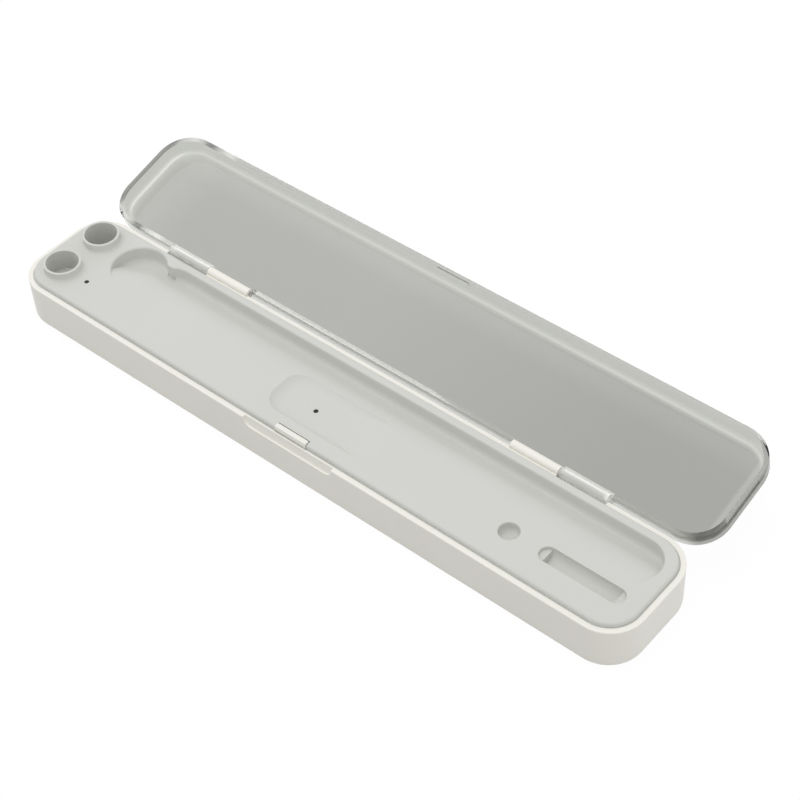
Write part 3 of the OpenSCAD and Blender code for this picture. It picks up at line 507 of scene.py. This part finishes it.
class SANITIZER_OT_tray(CaseOperator):
    """Finish the tray."""

    bl_idname = "sanitizer.tray"
    bl_label = "Tray"

    def execute(self, context):
        colours, sizes = context.scene.case_colours, context.scene.case_sizes
        # ABS from a spark-eroded mould: matte, with an even grain drawn coarse enough to show
        matte_abs = moulded_plastic(
            "matte_white_abs", colours.tray,
            grain=sizes.tray_grain, depth=0.02 * MM, roughness=0.55,
        )
        dress(matte_abs, "inner_tray")
        return {"FINISHED"}


class SANITIZER_OT_lid(CaseOperator):
    """Finish the clear lid."""

    bl_idname = "sanitizer.lid"
    bl_label = "Lid"

    def execute(self, context):
        colours = context.scene.case_colours
        # Polycarbonate from a polished mould: smoky, clear and glossy, with painted highlights,
        # glints and shade
        polycarbonate = clear_plastic(
            "smoked_polycarbonate", colours.lid, colours.lid_rim, colours.knuckle,
        )
        dress(polycarbonate, "lid")
        return {"FINISHED"}


class SANITIZER_OT_latch(CaseOperator):
    """Finish the latch tab and the switch behind it."""

    bl_idname = "sanitizer.latch"
    bl_label = "Latch and switch"

    def execute(self, context):
        colours, sizes = context.scene.case_colours, context.scene.case_sizes
        # Moulded acetal is slick, so the tab shows a clear highlight
        glossy_acetal = moulded_plastic(
            "glossy_white_acetal", colours.latch, grain=1 * MM, depth=0.01 * MM, roughness=0.25,
        )
        soft_copy("latch_tab", sizes.latch_edge, "latch", glossy_acetal)
        # Filled nylon, moulded: a dull black
        black_nylon = moulded_plastic(
            "black_nylon", linear("#2c2d2f"), grain=0.5 * MM, depth=0.01 * MM, roughness=0.5,
        )
        dress(black_nylon, "interlock_switch")
        # Uncoloured acetal, moulded: a satin ivory
        ivory_acetal = moulded_plastic(
            "ivory_acetal", linear("#d9d2c1"), grain=0.5 * MM, depth=0.01 * MM, roughness=0.4,
        )
        dress(ivory_acetal, "switch_plunger")
        return {"FINISHED"}


class SANITIZER_OT_metal(CaseOperator):
    """Finish the hinge pins and the screws."""

    bl_idname = "sanitizer.metal"
    bl_label = "Pins and screws"

    def execute(self, context):
        steel = context.scene.case_colours.steel
        # Drawn steel wire: bright, with fine lines along the pin
        drawn_steel = drawn_metal("drawn_steel", steel, stretch=(0.02, 1, 1), roughness=0.3)
        dress(drawn_steel, "hinge_pin_left", "hinge_pin_right")
        # Zinc plating: a little darker and duller than the bare pins
        zinc_plated = drawn_metal(
            "zinc_plated_steel", shade(steel, 0.85), stretch=(1, 1, 0.05), roughness=0.36,
        )
        dress(zinc_plated, "board_screws", "lamp_screws", "tray_screws")
        return {"FINISHED"}


class SANITIZER_OT_electronics(CaseOperator):
    """Finish the boards and what is on them."""

    bl_idname = "sanitizer.electronics"
    bl_label = "Boards, socket and lamps"

    def execute(self, context):
        colours = context.scene.case_colours
        # Glass-fibre board under printed solder mask: glossy green over paler copper runs
        solder_mask = circuit_board("green_solder_mask", colours.board)
        dress(solder_mask, "main_board", "lamp_board_head", "lamp_board_middle")
        # Tinned sheet, folded: bright, with fine lines along the socket
        tinned_steel = drawn_metal(
            "tinned_steel", linear("#c3c4c6"), stretch=(0.05, 1, 1), roughness=0.3,
        )
        dress(tinned_steel, "usb_socket")
        # Moulded epoxy: a dull black
        black_epoxy = moulded_plastic(
            "black_epoxy", linear("#1d1e20"), grain=0.3 * MM, depth=0.01 * MM, roughness=0.5,
        )
        dress(black_epoxy, "control_chip")
        # Pressed and fired ferrite: a dry dark grey with some grain
        grey_ferrite = moulded_plastic(
            "grey_ferrite", linear("#45423f"), grain=0.3 * MM, depth=0.02 * MM, roughness=0.7,
        )
        dress(grey_ferrite, "power_coil")
        # Uncoloured nylon, moulded: a satin ivory
        ivory_nylon = moulded_plastic(
            "ivory_nylon", linear("#ded7c4"), grain=0.5 * MM, depth=0.01 * MM, roughness=0.45,
        )
        dress(ivory_nylon, "lead_sockets")
        # Fired ceramic: an off-white with a low sheen
        white_ceramic = moulded_plastic(
            "white_ceramic", linear("#d8d5cb"), grain=0.3 * MM, depth=0.005 * MM, roughness=0.35,
        )
        dress(white_ceramic, "uvc_lamp_head", "uvc_lamp_middle")
        # Polished filter glass: nearly black, with a sharp highlight
        window_glass = moulded_plastic(
            "dark_window_glass", colours.window,
            grain=0.5 * MM, depth=0.002 * MM, roughness=0.12,
        )
        dress(window_glass, "lamp_window_head", "lamp_window_middle")
        return {"FINISHED"}


class SANITIZER_OT_power(CaseOperator):
    """Finish the battery, its pad and the leads."""

    bl_idname = "sanitizer.power"
    bl_label = "Battery and leads"

    def execute(self, context):
        colours = context.scene.case_colours
        # Rolled and laminated foil: a soft metal sheen, with fine lines across the battery
        laminated_foil = drawn_metal(
            "laminated_foil", linear("#c6c9cd"), stretch=(1, 0.1, 1), roughness=0.42,
        )
        dress(laminated_foil, "battery_cell")
        # Cut foam: a matte dark grey with open pores
        foam_tape = moulded_plastic(
            "grey_foam_tape", linear("#4a4c4f"), grain=0.4 * MM, depth=0.1 * MM, roughness=0.9,
        )
        dress(foam_tape, "battery_pad")
        # Extruded soft vinyl: a satin red
        red_jacket = moulded_plastic(
            "soft_red_jacket", colours.lead, grain=0.5 * MM, depth=0.01 * MM, roughness=0.5,
        )
        dress(
            red_jacket, "battery_leads", "switch_leads", "lamp_leads_head", "lamp_leads_middle",
        )
        return {"FINISHED"}


class SANITIZER_OT_stage(CaseOperator):
    """Set the floor, the light and the camera."""

    bl_idname = "sanitizer.stage"
    bl_label = "Studio"

    def execute(self, context):
        scene, studio = context.scene, context.scene.studio
        self.floor()
        self.sky(scene, studio)
        for name, (size, place, target) in SOFTBOXES.items():
            self.softbox(scene, name + "_softbox", getattr(studio, name), size, place, target)
        self.camera(scene, studio)
        scene.view_settings.view_transform = "Standard"
        return {"FINISHED"}

    def seen_directly(self, tree):
        """1 for rays that show the background: straight, in gloss or through the lid."""
        path = add_node(tree, "ShaderNodeLightPath")
        seen = path.outputs["Is Camera Ray"]
        for ray in ("Is Glossy Ray", "Is Transmission Ray"):
            seen = add_node(
                tree, "ShaderNodeMath", {0: seen, 1: path.outputs[ray]}, operation="MAXIMUM",
            ).outputs[0]
        return seen

    def floor(self):
        """Paper floor that shows nearly white and keeps the case's shadow."""
        bpy.ops.object.select_all(action="DESELECT")
        bpy.ops.mesh.primitive_plane_add(size=FLOOR_SIZE, location=(0, 0, -FLOOR_DROP))
        floor = bpy.context.object
        floor.name = "floor"
        # Matte paper: even and pale, with no gloss
        material = new_material("white_paper_sweep")
        tree = material.node_tree
        paper = add_node(tree, "ShaderNodeBsdfDiffuse", {"Color": linear(FLOOR_PAPER)})
        white = add_node(tree, "ShaderNodeEmission", {"Color": WHITE, "Strength": FLOOR_GLOW})
        share = add_node(
            tree, "ShaderNodeMath", {0: self.seen_directly(tree), 1: FLOOR_GLOW_SHARE},
            operation="MULTIPLY",
        )
        shown = add_node(
            tree, "ShaderNodeMixShader",
            {0: share.outputs[0], 1: paper.outputs[0], 2: white.outputs[0]},
        )
        floor.data.materials.append(finish_material(material, shown))

    def sky(self, scene, studio):
        """Even light from all round, which shows white where it is seen."""
        world = bpy.data.worlds.new("studio")
        scene.world = world
        world.use_nodes = True
        tree = world.node_tree
        tree.nodes.clear()
        strength = add_node(
            tree, "ShaderNodeMapRange",
            {"Value": self.seen_directly(tree), "To Min": studio.sky, "To Max": 1.0},
        )
        sky = add_node(
            tree, "ShaderNodeBackground",
            {"Color": WHITE, "Strength": strength.outputs["Result"]},
        )
        add_node(tree, "ShaderNodeOutputWorld", {"Surface": sky.outputs[0]})

    def softbox(self, scene, name, power, size, place, target):
        """Soft lamp that lights the case without showing as a patch in the clear lid."""
        lamp = bpy.data.lights.new(name, "AREA")
        lamp.shape = "RECTANGLE"
        lamp.size, lamp.size_y = size
        lamp.energy = power
        box = bpy.data.objects.new(name, lamp)
        scene.collection.objects.link(box)
        box.visible_glossy = False
        box.visible_transmission = False
        box.location = place
        box.rotation_euler = (Vector(target) - box.location).to_track_quat("-Z", "Y").to_euler()

    def camera(self, scene, studio):
        """Camera above the front right corner."""
        data = bpy.data.cameras.new("camera")
        data.lens = studio.lens
        data.sensor_width = SENSOR_WIDTH
        camera = bpy.data.objects.new("camera", data)
        scene.collection.objects.link(camera)
        axes = Matrix((CAMERA_RIGHT, CAMERA_UP, CAMERA_RIGHT.cross(CAMERA_UP))).transposed()
        camera.matrix_world = Matrix.Translation(CAMERA_PLACE) @ axes.to_4x4()
        scene.camera = camera


class SANITIZER_PT_panel(bpy.types.Panel):
    """Lists the case's settings and pieces."""

    bl_label = "Sanitizer case"
    bl_idname = "SANITIZER_PT_panel"
    bl_space_type = "VIEW_3D"
    bl_region_type = "UI"
    bl_category = "Sanitizer"

    def draw(self, context):
        for name, group in GROUPS.items():
            box = self.layout.box()
            for key in group.__annotations__:
                box.prop(getattr(context.scene, name), key)
        for operator in OPERATORS:
            self.layout.operator(operator.bl_idname)


GROUPS = {"case_colours": CaseColours, "case_sizes": CaseSizes, "studio": StudioSettings}
OPERATORS = (
    SANITIZER_OT_tub, SANITIZER_OT_tray, SANITIZER_OT_lid, SANITIZER_OT_latch,
    SANITIZER_OT_metal, SANITIZER_OT_electronics, SANITIZER_OT_power, SANITIZER_OT_stage,
)
CLASSES = (*GROUPS.values(), *OPERATORS, SANITIZER_PT_panel)


def register():
    """Makes the settings, the operators and the panel known to Blender."""
    for cls in CLASSES:
        bpy.utils.register_class(cls)
    for name, group in GROUPS.items():
        setattr(bpy.types.Scene, name, PointerProperty(type=group))


def unregister():
    """Takes them away again."""
    for name in GROUPS:
        delattr(bpy.types.Scene, name)
    for cls in reversed(CLASSES):
        bpy.utils.unregister_class(cls)


def main():
    """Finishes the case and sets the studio."""
    register()
    for operator in OPERATORS:
        family, name = operator.bl_idname.split(".")
        getattr(getattr(bpy.ops, family), name)()


if __name__ == "__main__":
    main()
